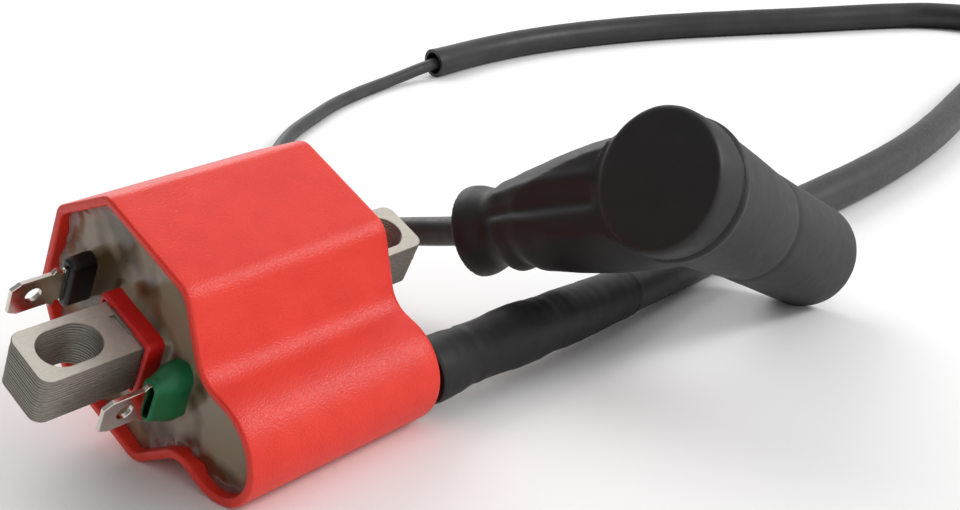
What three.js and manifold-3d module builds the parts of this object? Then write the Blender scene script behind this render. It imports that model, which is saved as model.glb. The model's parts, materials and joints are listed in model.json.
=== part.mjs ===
// Ignition coil for a small engine, with its high-tension lead and spark plug cap.
// Units are millimetres and +Z is up from the surface that everything lies on.
// The coil is drawn in its own frame: +X runs along the core towards the lead, with X = 0 on the
// open rim of the housing, +Y points to the narrow end and +Z crosses the laminations. It is then
// rolled about X until it rests on its lobe and on one long edge, as it does on a bench.
import * as THREE from 'three';
import { mergeVertices } from 'three/addons/utils/BufferGeometryUtils.js';
import Module from 'manifold-3d';

const wasm = await Module();
wasm.setup();

// Laminated core.
const LAMINATION_COUNT = 16;
const LAMINATION_PITCH = 0.5625;
const LAMINATION_THICKNESS = 0.5;
const CORE_LENGTH = 74;
const CORE_WIDTH = 10.3;
const CORE_CORNER_RADIUS = 2;
const CORE_FRONT = 17.6;
const CORE_HEIGHT = LAMINATION_COUNT * LAMINATION_PITCH;
const SLOT_LENGTH = 9.9;
const SLOT_WIDTH = 6.9;
const SLOT_END_MARGIN = 2.2;

// Housing: a moulded cup of constant outline, open at the front.
const HOUSING_LENGTH = 38.2;
const HOUSING_WALL = 1.5;
const REAR_WALL = 2;
const POTTING_RECESS = 1.4;
// Corners of the upper half of the outline as [Y, Z, fillet radius], from the narrow end to the lobe.
const LOBE_RADIUS = 9.3;
const OUTLINE_CORNERS = [
  [22, 8.4, 3],
  [12.1, 19.4, 3],
  [-8.8, 19.4, 4.5],
  [-16.6, 8.8, 5],
  [-31.4, 10.28, LOBE_RADIUS],
];

// Bobbins and windings, given as width along Y by height along Z.
const FIT_GAP = 0.3;
const BOBBIN_WALL = 0.9;
const BOBBIN_PROUD = 1.5;
const PRIMARY_FLANGE_SIZE = [17, 15.7];
const PRIMARY_FLANGE = 1;
const PRIMARY_FLANGE_INSET = 3.5;
const PRIMARY_WINDING_SIZE = [15.7, 14.4];
const SECONDARY_START = 7.5;
const SECONDARY_END = 33;
const SECONDARY_SECTIONS = 4;
const SECONDARY_FLANGE = 0.8;
const SECONDARY_FLANGE_SIZE = [24, 23];
const SECONDARY_WINDING_SIZE = [22.4, 21.4];

// Blade terminals.
const BLADE_WIDTH = 6.3;
const BLADE_THICKNESS = 0.8;
const BLADE_TIP = 11.4;
const BLADE_TIP_WIDTH = 4.7;
const BLADE_CHAMFER = 1.5;
const BLADE_HOLE_RADIUS = 1.3;
const BLADE_HOLE_INSET = 3.9;
const BLADE_SHOULDER_WIDTH = 7.4;
const BLADE_SHOULDER_X = -3.2;
const BLADE_END_X = 6.4;
const BLADE_Y = [14, -10.8];

// High-tension outlet, lead, boot and protective tube.
const OUTLET_Y = -25.6;
const LEAD_RADIUS = 1.9;
const LEAD_HOLE_RADIUS = 2.4;
const LEAD_START_X = 32;
const PIN_RADIUS = 0.9;
const PIN_HEAD_RADIUS = 2.4;
const PIN_START_X = 26;
const BOOT_RADIUS = 5.4;
const BOOT_END_X = 64;
const TUBE_RADIUS = 4.4;
const TUBE_BORE_RADIUS = 3.4;
const SLEEVE_RADIUS = 2.7;
const SLEEVE_BORE_RADIUS = 2.2;
const SLEEVE_START_Y = 36;
const LEAD_SIDES = 8;
const TUBE_SIDES = 10;
const LEAD_STEP = 11.5;

// Spark plug cap: the barrel and the leg meet at a right angle in CAP_CENTRE.
const CAP_CENTRE = new THREE.Vector3(60.6, -42.1, 32.2);
const CAP_TOP_NORMAL = new THREE.Vector3(-0.875, -0.039, 0.482).normalize();
const CAP_LEG_TOWARDS = new THREE.Vector3(-0.206, 0.931, -0.299);
const CAP_TOP = 10;
const CAP_BARREL_LENGTH = 60;
const CAP_BARREL_END = CAP_TOP - CAP_BARREL_LENGTH;
const CAP_LEG_LENGTH = 42.7;
const CAP_SEGMENTS = 28;
const SOCKET_RADIUS = 6.6;
const SOCKET_DEPTH = 19;
const SOCKET_END = CAP_BARREL_END + SOCKET_DEPTH;
const CHAMBER_RADIUS = 7.5;
const CHAMBER_TOP = -3;
const JUNCTION_RADIUS = 4.9;
const LEG_BORE_RADIUS = 3.1;
const LEG_MOUTH_RADIUS = 5.4;
const SLEEVE_END = 30;
const LEAD_END = 15;

// Route of the lead's centre line in the part's frame, laid in one open loop from the coil to the cap.
const LEAD_ROUTE = [
  [19.5, -19.2, 7.5],
  [30, -19.5, 7.5],
  [42, -19.9, 7.1],
  [54, -19.8, 6.3],
  [66, -19.6, 5.6],
  [80, -19.1, 5],
  [96, -18.3, 4.4],
  [114, -17.6, 4.4],
  [134, -17.6, 4.4],
  [154, -17.7, 4.4],
  [174, -17.2, 4.4],
  [194, -15.4, 4.4],
  [214, -12.2, 4.4],
  [239, -6.6, 4.4],
  [262, -1.2, 4.4],
  [286, 3.4, 4.4],
  [310, 7.6, 4.4],
  [332, 14, 4.4],
  [350, 26, 4.4],
  [359.5, 44, 4.4],
  [356, 62, 4.4],
  [345, 75, 4.4],
  [327, 91, 4.4],
  [307, 110, 4.4],
  [286, 128, 4.4],
  [262, 142, 4.4],
  [240, 150, 4.4],
  [218, 153, 4.4],
  [198, 152.3, 4.4],
  [191, 153.9, 3.3],
  [184, 153.8, 2.6],
  [172, 152.6, 2],
  [161, 150, 2],
  [147, 145.3, 2],
  [133, 138.3, 2],
  [120, 131.3, 2],
  [108, 122.5, 2],
  [95.5, 111, 2],
  [83, 97, 2],
  [72, 82, 2.6],
  [63, 66, 4.2],
  [56, 50, 7.2],
  [52, 36, 10.8],
  [50.7, 24, 14.2],
  [51, 15, 16.1],
  [52, 7, 17.5],
];
const TUBE_END_X = 196;

const COLOURS = {
  housing: [0xd8382f, 0.45, 0],
  potting: [0x6b5a48, 0.3, 0],
  steel: [0xa9a79c, 0.35, 0.9],
  bobbin: [0xb81d1c, 0.5, 0],
  copper: [0xb4622c, 0.35, 0.9],
  tin: [0xb5aaa0, 0.25, 1],
  black: [0x17130f, 0.55, 0],
  green: [0x0a5a34, 0.4, 0],
  rubber: [0x1c1c1d, 0.6, 0],
  tube: [0x262627, 0.5, 0],
  brass: [0xb08d4a, 0.3, 1],
  ceramic: [0xd9d2c3, 0.5, 0],
  phenolic: [0x2b211c, 0.5, 0],
};

function piece(name, geometry, finish) {
  const [color, roughness, metalness] = COLOURS[finish];
  const mesh = new THREE.Mesh(geometry, new THREE.MeshStandardMaterial({ color, roughness, metalness }));
  mesh.name = name;
  return mesh;
}

// Solids.

function solidOf(geometry) {
  const bare = geometry.clone();
  bare.deleteAttribute('normal');
  bare.deleteAttribute('uv');
  const merged = mergeVertices(bare, 1e-4);
  const vertProperties = new Float32Array(merged.attributes.position.array);
  const triVerts = new Uint32Array(merged.index.array);
  return new wasm.Manifold(new wasm.Mesh({ numProp: 3, vertProperties, triVerts }));
}

function geometryOf(solid) {
  const mesh = solid.getMesh();
  const geometry = new THREE.BufferGeometry();
  geometry.setAttribute('position', new THREE.BufferAttribute(new Float32Array(mesh.vertProperties), 3));
  geometry.setIndex(new THREE.BufferAttribute(new Uint32Array(mesh.triVerts), 1));
  return geometry;
}

function join(...geometries) {
  return geometryOf(geometries.map(solidOf).reduce((sum, next) => sum.add(next)));
}

function cut(geometry, ...tools) {
  return geometryOf(tools.map(solidOf).reduce((rest, tool) => rest.subtract(tool), solidOf(geometry)));
}

// Outlines are lists of Vector2, anticlockwise.

function filletArc(before, corner, after, radius) {
  const back = before.clone().sub(corner).normalize();
  const ahead = after.clone().sub(corner).normalize();
  const halfAngle = Math.acos(back.dot(ahead)) / 2;
  const centre = back.clone().add(ahead).normalize().multiplyScalar(radius / Math.sin(halfAngle)).add(corner);
  const start = back.multiplyScalar(radius / Math.tan(halfAngle)).add(corner);
  return { centre, start, sweep: Math.PI - 2 * halfAngle };
}

function roundedOutline(corners, stepAngle = Math.PI / 10) {
  const points = corners.map(([u, v]) => new THREE.Vector2(u, v));
  const outline = [];
  corners.forEach(([, , radius], i) => {
    const before = points.at(i - 1);
    const after = points[(i + 1) % points.length];
    const arc = filletArc(before, points[i], after, radius);
    const turn = Math.sign(points[i].clone().sub(before).cross(after.clone().sub(points[i])));
    const steps = Math.max(2, Math.round(arc.sweep / stepAngle));
    for (let k = 0; k <= steps; k += 1) {
      outline.push(arc.start.clone().rotateAround(arc.centre, (turn * arc.sweep * k) / steps));
    }
  });
  return outline.filter((point, i) => point.distanceTo(outline.at(i - 1)) > 0.02);
}

function insetOutline(outline, distance) {
  return outline.map((point, i) => {
    const along = outline[(i + 1) % outline.length].clone().sub(outline.at(i - 1)).normalize();
    return new THREE.Vector2(point.x - along.y * distance, point.y + along.x * distance);
  });
}

function rectangle([width, height], radius) {
  const [u, v] = [width / 2, height / 2];
  return roundedOutline([[u, v, radius], [-u, v, radius], [-u, -v, radius], [u, -v, radius]], Math.PI / 6);
}

// Prisms and turned shapes.

function prism(outline, depth, holes = []) {
  const shape = new THREE.Shape(outline);
  holes.forEach((hole) => shape.holes.push(new THREE.Path(hole)));
  return new THREE.ExtrudeGeometry(shape, { depth, bevelEnabled: false });
}

const TO_X = new THREE.Matrix4().set(0, 0, 1, 0, 1, 0, 0, 0, 0, 1, 0, 0, 0, 0, 0, 1);

// An outline in the YZ plane, drawn along X.
function prismX(outline, start, end, holes = []) {
  return prism(outline, end - start, holes).applyMatrix4(TO_X).translate(start, 0, 0);
}

// A turned shape about Z from [radius, height] pairs, in rising order.
function turnedZ(profile, segments = CAP_SEGMENTS) {
  const points = profile.map(([radius, height]) => new THREE.Vector2(radius, height));
  return new THREE.LatheGeometry(points, segments).rotateX(Math.PI / 2);
}

function turnedX(profile, segments = CAP_SEGMENTS) {
  return turnedZ(profile, segments).rotateY(Math.PI / 2);
}

function rod(radius, start, end) {
  return [[0, start], [radius, start], [radius, end], [0, end]];
}

function ring(outer, inner, start, end) {
  return [[inner, start], [outer, start], [outer, end], [inner, end], [inner, start]];
}

function circle(radius, sides) {
  const turns = Array.from({ length: sides }, (_, i) => (2 * Math.PI * i) / sides);
  return turns.map((turn) => new THREE.Vector2(radius * Math.cos(turn), radius * Math.sin(turn)));
}

// The coil.

const upperHalf = OUTLINE_CORNERS;
const lowerHalf = upperHalf.map(([y, z, radius]) => [y, -z, radius]).reverse();
const housingOutline = roundedOutline([...upperHalf, ...lowerHalf]);
const cavityOutline = insetOutline(housingOutline, HOUSING_WALL);
const boreSize = [CORE_WIDTH + 2 * FIT_GAP, CORE_HEIGHT + 2 * FIT_GAP];
const grown = ([width, height], by) => [width + 2 * by, height + 2 * by];
const bobbinTube = grown(boreSize, BOBBIN_WALL);
const rearInnerFace = HOUSING_LENGTH - REAR_WALL;
const rearFlangeX = rearInnerFace - 2;

function atOutlet(geometry) {
  return geometry.translate(0, OUTLET_Y, 0);
}

function lamination(index) {
  const half = CORE_LENGTH / 2;
  const plate = rectangle([CORE_LENGTH, CORE_WIDTH], CORE_CORNER_RADIUS);
  const slotCentre = half - SLOT_END_MARGIN - SLOT_LENGTH / 2;
  const slot = rectangle([SLOT_LENGTH, SLOT_WIDTH], SLOT_WIDTH / 2 - 0.01);
  const slots = [-slotCentre, slotCentre].map((x) => slot.map((p) => new THREE.Vector2(p.x + x, p.y)).reverse());
  const geometry = prism(plate, LAMINATION_THICKNESS, slots);
  const bottom = -CORE_HEIGHT / 2 + index * LAMINATION_PITCH + (LAMINATION_PITCH - LAMINATION_THICKNESS) / 2;
  geometry.translate(half - CORE_FRONT, 0, bottom);
  return piece(`lamination_${String(index + 1).padStart(2, '0')}`, geometry, 'steel');
}

function housing() {
  const shell = prismX(housingOutline, 0, HOUSING_LENGTH);
  const cavity = prismX(cavityOutline, -1, rearInnerFace);
  const rearWindow = prismX(rectangle(grown(bobbinTube, FIT_GAP), 1), rearInnerFace - 1, HOUSING_LENGTH + 1);
  const outlet = atOutlet(turnedX(rod(LEAD_HOLE_RADIUS, rearInnerFace - 1, HOUSING_LENGTH + 1)));
  return piece('housing', cut(shell, cavity, rearWindow, outlet), 'housing');
}

function potting() {
  const start = POTTING_RECESS;
  const end = rearInnerFace - FIT_GAP;
  const block = prismX(insetOutline(cavityOutline, FIT_GAP), start, end);
  const collars = prismX(rectangle(grown(bobbinTube, FIT_GAP), 1), start - 1, end + 1);
  const primary = prismX(rectangle(grown(PRIMARY_FLANGE_SIZE, FIT_GAP), 1), PRIMARY_FLANGE_INSET - FIT_GAP,
    rearFlangeX + PRIMARY_FLANGE + FIT_GAP);
  const secondary = prismX(rectangle(grown(SECONDARY_FLANGE_SIZE, FIT_GAP), 2), SECONDARY_START - FIT_GAP,
    SECONDARY_END + FIT_GAP);
  const bladePockets = BLADE_Y.map((y) => {
    const pocket = prismX(rectangle([BLADE_THICKNESS + 2 * FIT_GAP, BLADE_SHOULDER_WIDTH + 2 * FIT_GAP], 0.2),
      start - 1, BLADE_END_X + FIT_GAP);
    return pocket.translate(0, y, 0);
  });
  const pinPocket = atOutlet(turnedX(rod(PIN_HEAD_RADIUS + FIT_GAP, PIN_START_X - FIT_GAP, LEAD_START_X), 16));
  const leadSocket = atOutlet(turnedX(rod(LEAD_HOLE_RADIUS, LEAD_START_X - 1, end + 1)));
  const tools = [collars, primary, secondary, ...bladePockets, pinPocket, leadSocket];
  return piece('potting', cut(block, ...tools), 'potting');
}

function primaryBobbin() {
  const tube = prismX(rectangle(bobbinTube, 0.7), -BOBBIN_PROUD, HOUSING_LENGTH + BOBBIN_PROUD);
  const flanges = [PRIMARY_FLANGE_INSET, rearFlangeX].map((x) => (
    prismX(rectangle(PRIMARY_FLANGE_SIZE, 1), x, x + PRIMARY_FLANGE)));
  const bore = prismX(rectangle(boreSize, 0.3), -BOBBIN_PROUD - 1, HOUSING_LENGTH + BOBBIN_PROUD + 1);
  return piece('primary_bobbin', cut(join(tube, ...flanges), bore), 'bobbin');
}

function primaryWinding() {
  const start = PRIMARY_FLANGE_INSET + PRIMARY_FLANGE + FIT_GAP;
  const inside = rectangle(grown(bobbinTube, FIT_GAP), 0.7).reverse();
  const geometry = prismX(rectangle(PRIMARY_WINDING_SIZE, 1), start, rearFlangeX - FIT_GAP, [inside]);
  return piece('primary_winding', geometry, 'copper');
}

const secondaryTubeSize = grown(PRIMARY_WINDING_SIZE, FIT_GAP + BOBBIN_WALL);
const secondaryPitch = (SECONDARY_END - SECONDARY_START - SECONDARY_FLANGE) / SECONDARY_SECTIONS;

function secondaryBobbin() {
  const tube = prismX(rectangle(secondaryTubeSize, 1.5), SECONDARY_START, SECONDARY_END);
  const flanges = Array.from({ length: SECONDARY_SECTIONS + 1 }, (_, i) => {
    const x = SECONDARY_START + i * secondaryPitch;
    return prismX(rectangle(SECONDARY_FLANGE_SIZE, 2), x, x + SECONDARY_FLANGE);
  });
  const bore = prismX(rectangle(grown(PRIMARY_WINDING_SIZE, FIT_GAP), 1), SECONDARY_START - 1, SECONDARY_END + 1);
  return piece('secondary_bobbin', cut(join(tube, ...flanges), bore), 'ceramic');
}

function secondaryWinding(index) {
  const start = SECONDARY_START + index * secondaryPitch + SECONDARY_FLANGE + FIT_GAP;
  const end = SECONDARY_START + (index + 1) * secondaryPitch - FIT_GAP;
  const inside = rectangle(grown(secondaryTubeSize, FIT_GAP), 1.5).reverse();
  const geometry = prismX(rectangle(SECONDARY_WINDING_SIZE, 2), start, end, [inside]);
  return piece(`secondary_winding_${index + 1}`, geometry, 'copper');
}

// A blade lies in the XZ plane, with its chamfered tip towards -X and its shoulders in the potting.
function terminal(name, y) {
  const half = BLADE_WIDTH / 2;
  const shoulder = BLADE_SHOULDER_WIDTH / 2;
  const edge = [
    [-BLADE_TIP, BLADE_TIP_WIDTH / 2],
    [BLADE_CHAMFER - BLADE_TIP, half],
    [BLADE_SHOULDER_X, half],
    [BLADE_SHOULDER_X, shoulder],
    [BLADE_END_X, shoulder],
  ];
  const mirrored = edge.map(([x, z]) => [x, -z]).reverse();
  const outline = [...mirrored.reverse(), ...edge.reverse()].map(([x, z]) => new THREE.Vector2(x, z));
  const hole = circle(BLADE_HOLE_RADIUS, 14).map((p) => (
    new THREE.Vector2(p.x - BLADE_TIP + BLADE_HOLE_INSET, p.y))).reverse();
  const geometry = prism(outline, BLADE_THICKNESS, [hole]).rotateX(Math.PI / 2);
  return piece(name, geometry.translate(0, y + BLADE_THICKNESS / 2, 0), 'tin');
}

// A sleeve is a flat oval tube over a blade's shoulders, standing on the potting.
function sleeve(name, y, front, size, finish) {
  const inside = rectangle([BLADE_THICKNESS + 1, BLADE_SHOULDER_WIDTH + 0.8], 0.8).reverse();
  const geometry = prismX(rectangle(size, 1.6), front, POTTING_RECESS - FIT_GAP, [inside]);
  return piece(name, geometry.translate(0, y, 0), finish);
}

function contactPin() {
  const head = PIN_START_X + 1.5;
  const tip = LEAD_START_X - FIT_GAP;
  const profile = [[0, PIN_START_X], [PIN_HEAD_RADIUS, PIN_START_X], [PIN_HEAD_RADIUS, head], [PIN_RADIUS, head],
    [PIN_RADIUS, tip - 1.5], [0, tip]];
  return piece('ht_contact_pin', atOutlet(turnedX(profile, 16)), 'brass');
}

const coil = new THREE.Group();
for (let i = 0; i < LAMINATION_COUNT; i += 1) coil.add(lamination(i));
coil.add(housing(), potting(), primaryBobbin(), primaryWinding(), secondaryBobbin());
for (let i = 0; i < SECONDARY_SECTIONS; i += 1) coil.add(secondaryWinding(i));
coil.add(terminal('primary_terminal', BLADE_Y[0]), terminal('ground_terminal', BLADE_Y[1]));
coil.add(sleeve('black_sleeve', BLADE_Y[0], -0.9, [4.2, 9.8], 'black'));
coil.add(sleeve('green_sleeve', BLADE_Y[1], -2.8, [4.8, 10.2], 'green'));
coil.add(contactPin());

// The roll that brings the lobe and the lower long edge level: both are arcs, so the roll is the
// angle at which their lowest points have the same height.
const lobeCentre = new THREE.Vector2(OUTLINE_CORNERS[4][0] + LOBE_RADIUS, 0);
const [edgeBefore, edgeCorner, edgeAfter] = [3, 2, 1].map((i) => (
  new THREE.Vector2(OUTLINE_CORNERS[i][0], -OUTLINE_CORNERS[i][1])));
const edgeRadius = OUTLINE_CORNERS[2][2];
const edgeCentre = filletArc(edgeBefore, edgeCorner, edgeAfter, edgeRadius).centre;
const apart = edgeCentre.clone().sub(lobeCentre);
const ROLL = Math.atan2(apart.x, apart.y) - Math.acos((edgeRadius - LOBE_RADIUS) / apart.length());
const rolledOutline = housingOutline.map((p) => p.clone().rotateAround(new THREE.Vector2(), ROLL));
const rolledY = rolledOutline.map((p) => p.x);
const rolledZ = rolledOutline.map((p) => p.y);
coil.rotation.x = ROLL;
coil.position.set(
  CORE_FRONT - CORE_LENGTH / 2,
  -(Math.min(...rolledY) + Math.max(...rolledY)) / 2,
  -Math.min(...rolledZ),
);

// The lead, its protective tube and the boot at the outlet follow one route.

const capLegDirection = CAP_LEG_TOWARDS.clone().projectOnPlane(CAP_TOP_NORMAL).normalize();
const capLegPoint = (distance) => CAP_CENTRE.clone().addScaledVector(capLegDirection, distance);
const leadEnds = {
  first: new THREE.Vector3(LEAD_START_X, OUTLET_Y, 0).applyEuler(coil.rotation).add(coil.position),
  last: [CAP_LEG_LENGTH - 3, SLEEVE_END, LEAD_END].map(capLegPoint),
};
const routePoints = LEAD_ROUTE.map((point) => new THREE.Vector3(...point));
const leadCurve = new THREE.CatmullRomCurve3([leadEnds.first, ...routePoints, ...leadEnds.last]);
leadCurve.arcLengthDivisions = 2000;
const leadSteps = Math.round(leadCurve.getLength() / LEAD_STEP);
const leadPoints = leadCurve.getSpacedPoints(leadSteps);

function alongPoints(points, radius, sides, boreRadius) {
  const shape = new THREE.Shape(circle(radius, sides));
  if (boreRadius) shape.holes.push(new THREE.Path(circle(boreRadius, sides).reverse()));
  const extrudePath = new THREE.CatmullRomCurve3(points);
  return new THREE.ExtrudeGeometry(shape, { steps: points.length - 1, extrudePath, bevelEnabled: false });
}

function protectiveTube() {
  const bootEnd = coil.position.x + BOOT_END_X + FIT_GAP;
  const start = leadPoints.findIndex((p) => p.x > bootEnd);
  const turn = leadPoints.findIndex((p) => p.y > 60);
  const end = turn + leadPoints.slice(turn).findIndex((p) => p.x < TUBE_END_X);
  const geometry = alongPoints(leadPoints.slice(start, end), TUBE_RADIUS, TUBE_SIDES, TUBE_BORE_RADIUS);
  return { mesh: piece('protective_tube', geometry, 'tube'), firstPoint: start };
}

const tube = protectiveTube();

function outletBoot() {
  const wall = coil.position.x + HOUSING_LENGTH + FIT_GAP;
  const tubeStart = leadPoints[tube.firstPoint];
  const inside = leadPoints.filter((p, i) => p.x > wall + 2 && i < tube.firstPoint);
  const first = leadPoints[0].clone().setX(wall);
  const last = inside.at(-1).clone().lerp(tubeStart, 0.94);
  const geometry = alongPoints([first, ...inside, last], BOOT_RADIUS, 12, TUBE_BORE_RADIUS);
  return piece('outlet_boot', geometry, 'rubber');
}

// The sleeve covers the last stretch of the lead, where it enters the cap.
function leadSleeve() {
  const fromEnd = leadPoints.filter((p) => p.distanceTo(CAP_CENTRE) > SLEEVE_END);
  const start = fromEnd.findLastIndex((p) => p.y > SLEEVE_START_Y);
  const geometry = alongPoints(fromEnd.slice(start), SLEEVE_RADIUS, TUBE_SIDES, SLEEVE_BORE_RADIUS);
  return piece('lead_sleeve', geometry, 'tube');
}

const lead = piece('ht_lead', alongPoints(leadPoints, LEAD_RADIUS, LEAD_SIDES), 'tube');

// The cap is drawn with +Z to its closed top, -Z to the plug socket and +X along the leg.

function capBody() {
  const end = CAP_BARREL_END;
  const barrel = turnedZ([[0, end], [9.2, end], [10.1, end + 1.5], [10.2, end + 9], [9.8, end + 14], [11.9, 1.6],
    [12.4, 2.4], [12.4, 3.2], [11.6, 3.5], [12.1, 4], [11.2, CAP_TOP - 0.6], [10.7, CAP_TOP], [0, CAP_TOP]]);
  const leg = turnedX([[0, 0], [11.8, 0], [11.8, 8], [11.4, 14], [10.3, 22], [9, 29], [8, 34], [7.1, 36],
    [7.1, 37.4], [8.1, 40], [8.3, CAP_LEG_LENGTH - 0.6], [7.9, CAP_LEG_LENGTH], [0, CAP_LEG_LENGTH]], 24);
  const socket = turnedZ(rod(SOCKET_RADIUS, end - 1, SOCKET_END + 1));
  const chamber = turnedZ(rod(CHAMBER_RADIUS, SOCKET_END, CHAMBER_TOP));
  const junction = turnedZ(rod(JUNCTION_RADIUS, CHAMBER_TOP - 1, -CHAMBER_TOP));
  const leadBore = turnedX([[0, 0], [LEG_BORE_RADIUS, 0], [LEG_BORE_RADIUS, CAP_LEG_LENGTH - 5],
    [LEG_MOUTH_RADIUS, CAP_LEG_LENGTH - 1], [LEG_MOUTH_RADIUS, CAP_LEG_LENGTH + 1], [0, CAP_LEG_LENGTH + 1]], 20);
  return piece('cap_body', cut(join(barrel, leg), socket, chamber, junction, leadBore), 'rubber');
}

function capSpring() {
  const [coilRadius, wireRadius, turns, bottom, height] = [2.4, 0.35, 4, -8.7, 4.6];
  const points = Array.from({ length: turns * 8 + 1 }, (_, i) => {
    const angle = (i * Math.PI) / 4;
    return new THREE.Vector3(coilRadius * Math.cos(angle), coilRadius * Math.sin(angle),
      bottom + (height * i) / (turns * 8));
  });
  return piece('cap_spring', alongPoints(points, wireRadius, 6), 'steel');
}

function capTerminal() {
  const body = turnedZ(rod(4.4, CHAMBER_TOP + 0.2, -CHAMBER_TOP - FIT_GAP), 18);
  const screw = turnedX([[0, 1], [1.4, 1], [1.4, 11], [0, 14.2]], 10);
  return piece('cap_lead_screw', join(body, screw), 'brass');
}

function plugClip() {
  const cup = turnedZ([[0, -25.4], [3.3, -25.4], [3.3, -31.2], [3.9, -31.2], [3.9, -24.4], [0, -24.4]], 20);
  const slot = new THREE.BoxGeometry(12, 0.9, 5).translate(0, 0, -30);
  return piece('plug_clip', cut(cup, slot), 'brass');
}

const cap = new THREE.Group();
cap.add(capBody());
cap.add(piece('cap_insulator', turnedZ(ring(7.2, 4.3, SOCKET_END + FIT_GAP, CHAMBER_TOP - FIT_GAP)), 'phenolic'));
cap.add(piece('cap_resistor', turnedZ(rod(3.2, -24, -9.2), 18), 'ceramic'));
cap.add(capSpring(), capTerminal(), plugClip());
const capSide = new THREE.Vector3().crossVectors(CAP_TOP_NORMAL, capLegDirection);
cap.setRotationFromMatrix(new THREE.Matrix4().makeBasis(capLegDirection, capSide, CAP_TOP_NORMAL));
cap.position.copy(CAP_CENTRE);

const group = new THREE.Group();
group.add(coil, outletBoot(), tube.mesh, lead, leadSleeve(), cap);

export default group;
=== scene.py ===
"""Looks of the ignition coil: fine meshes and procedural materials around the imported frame.

Shapes are drawn in millimetres in two local frames. The coil's has +X along the core towards the
lead, with X = 0 on the open rim, +Y to the narrow end and +Z across the laminations. The cap's has
+Z to its closed top and +X along the leg. Cords are drawn straight in the part's frame.
"""
import json
import math

import bmesh
import bpy
import numpy as np
from mathutils import Matrix, Vector, noise
from mathutils.geometry import delaunay_2d_cdt, tessellate_polygon


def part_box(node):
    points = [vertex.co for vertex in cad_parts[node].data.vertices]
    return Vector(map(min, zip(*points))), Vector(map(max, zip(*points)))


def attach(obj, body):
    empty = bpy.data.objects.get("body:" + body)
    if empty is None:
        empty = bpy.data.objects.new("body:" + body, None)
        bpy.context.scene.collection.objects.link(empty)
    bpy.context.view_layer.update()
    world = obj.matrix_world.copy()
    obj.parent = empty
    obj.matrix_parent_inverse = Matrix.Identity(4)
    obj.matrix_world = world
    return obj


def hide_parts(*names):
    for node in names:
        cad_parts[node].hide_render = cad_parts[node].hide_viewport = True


MM = 0.001
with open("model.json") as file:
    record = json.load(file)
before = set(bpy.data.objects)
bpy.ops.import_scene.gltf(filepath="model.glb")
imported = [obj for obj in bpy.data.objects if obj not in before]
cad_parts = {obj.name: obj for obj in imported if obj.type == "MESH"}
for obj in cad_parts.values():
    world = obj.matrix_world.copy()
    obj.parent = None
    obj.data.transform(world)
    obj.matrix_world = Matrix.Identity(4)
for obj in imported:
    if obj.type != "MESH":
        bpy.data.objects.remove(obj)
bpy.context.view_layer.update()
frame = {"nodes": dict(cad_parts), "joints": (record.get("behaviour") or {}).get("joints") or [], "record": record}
record = frame["record"]

# Sizes in millimetres. The potting lies deeper and the boot runs further
# than in the CAD model, whose sizes the others follow.
LAMINATIONS = 16
LAMINATION_PITCH = 0.5625
LAMINATION_THICKNESS = 0.5
CORE_FRONT = 17.6
CORE_LENGTH = 74
CORE_WIDTH = 10.3
CORE_HEIGHT = LAMINATIONS * LAMINATION_PITCH
CORE_CORNER = 2
SLOT_SIZE = (9.9, 6.9)
SLOT_MARGIN = 2.2
HOUSING_LENGTH = 38.2
HOUSING_WALL = 1.5
REAR_WALL = 2
LOBE_RADIUS = 9.3
HOUSING_CORNERS = [
    (22, 8.4, 3), (12.1, 19.4, 3), (-8.8, 19.4, 4.5), (-16.6, 8.8, 5), (-31.4, 10.28, LOBE_RADIUS),
]
POTTING_DEPTH = 2.4
MENISCUS_HEIGHT = 0.6
BOBBIN_BORE = (10.9, 9.6)
BOBBIN_WALL = 0.9
BOBBIN_PROUD = 1.5
BLADE_WIDTH = 6.3
BLADE_THICKNESS = 0.8
BLADE_TIP = 11.4
BLADE_HOLE = 1.3
PRIMARY_Y = 14
GROUND_Y = -10.8
OUTLET_Y = -25.6
LEAD_START = 32
LEAD_RADIUS = 1.9
TUBE_RADIUS = 4.4
TUBE_BORE = 3.3
SLEEVE_RADIUS = 2.7
BOOT_LENGTH = 52
TUBE_END_X = 196
SLEEVE_START_Y = 36
BARREL_END = -50
LEG_LENGTH = 42.7
SOCKET_RADIUS = 6.6
SOCKET_DEPTH = 19
SKIN_VOXEL = 0.34
POTTING_SPACING = 0.42
EDGE_KEEP = 0.25
STEP = 1.1
BOOT_STEP = 0.4
ROUND_SIDES = 32

# The camera's lens, and its place and axes in the part's frame.
LENS = 53.39
CAMERA_PLACE = (-124.7, -170.65, 103.8)
CAMERA_BACK = (-0.6815, -0.6468, 0.3423)
CAMERA_RIGHT = (0.6795, -0.733, -0.0321)

# The surroundings: how bright they are away from the dark side and on it, and where that side is.
OPEN_SIDE = 0.86
DARK_SIDE = 0.25
DARK_TOWARDS = (-0.8, 0.35, 0.45)
FLOOR_HALF = 3.0
FLOOR_LINES = 12

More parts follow.
